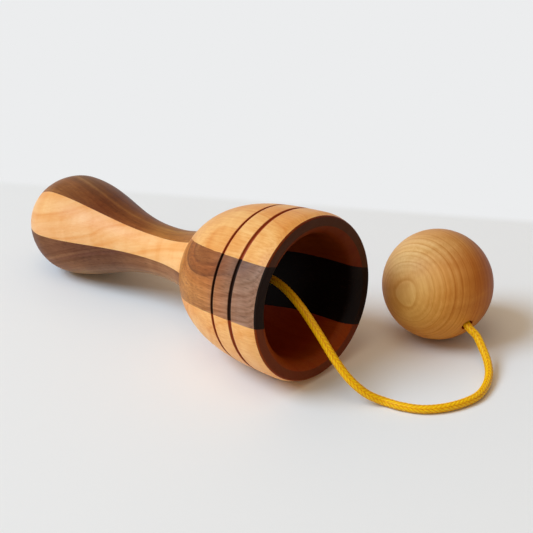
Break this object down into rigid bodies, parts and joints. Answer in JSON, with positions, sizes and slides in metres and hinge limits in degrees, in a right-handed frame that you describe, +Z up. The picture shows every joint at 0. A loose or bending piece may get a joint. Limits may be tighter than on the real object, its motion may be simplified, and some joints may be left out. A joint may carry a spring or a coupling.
{
  "type": "cup and ball toy",
  "caption": "Turned wooden cup on a pear-shaped handle, glued up from light and dark wood, with a drilled wooden ball tied to the cup's floor by a yellow braided cord.",
  "frame": {"origin": "on the table, under the middle of the box round the toy and its ball", "axes": "+X from the handle towards the cup's mouth, +Y towards the side where the ball lies, +Z up"},
  "size_m": [0.1896, 0.0966, 0.0563],
  "materials": {
    "walnut": "satin oil",
    "cherry": "satin oil",
    "birch": "bare, sanded",
    "maple": "satin oil",
    "cord": "braided"
  },
  "bodies": {
    "toy": {"cup_core": "walnut", "cup_cheek_upper": "cherry", "cup_cheek_lower": "cherry", "handle_light_a": "cherry", "handle_light_b": "cherry", "handle_dark_a": "walnut", "handle_dark_b": "walnut", "handle_dowel": "birch", "cup_knot": "cord", "cord_lead": "cord"},
    "cord_sweep": {"cord_loop": "cord"},
    "cord_tail": {"cord_rise": "cord", "ball_knot": "cord"},
    "ball": {"ball": "maple"}
  },
  "joints": [
    {"name": "cord_swing", "type": "hinge", "parent": "toy", "child": "cord_sweep", "pos_m": [0.08276, -0.01925, 0.0018], "axis": [0, 0, 1], "range_deg": [-100, 8], "deforming": ["cord_loop"]},
    {"name": "ball_lift", "type": "hinge", "parent": "cord_sweep", "child": "cord_tail", "pos_m": [0.10266, 0.00335, 0.0015], "axis": [0.5844, 0.8114, 0], "range_deg": [0, 60], "deforming": ["cord_rise"]},
    {"name": "ball_spin", "type": "hinge", "parent": "cord_tail", "child": "ball", "pos_m": [0.06656, 0.02935, 0.019], "axis": [0.8702, -0.2661, -0.4147], "continuous": true}
  ]
}
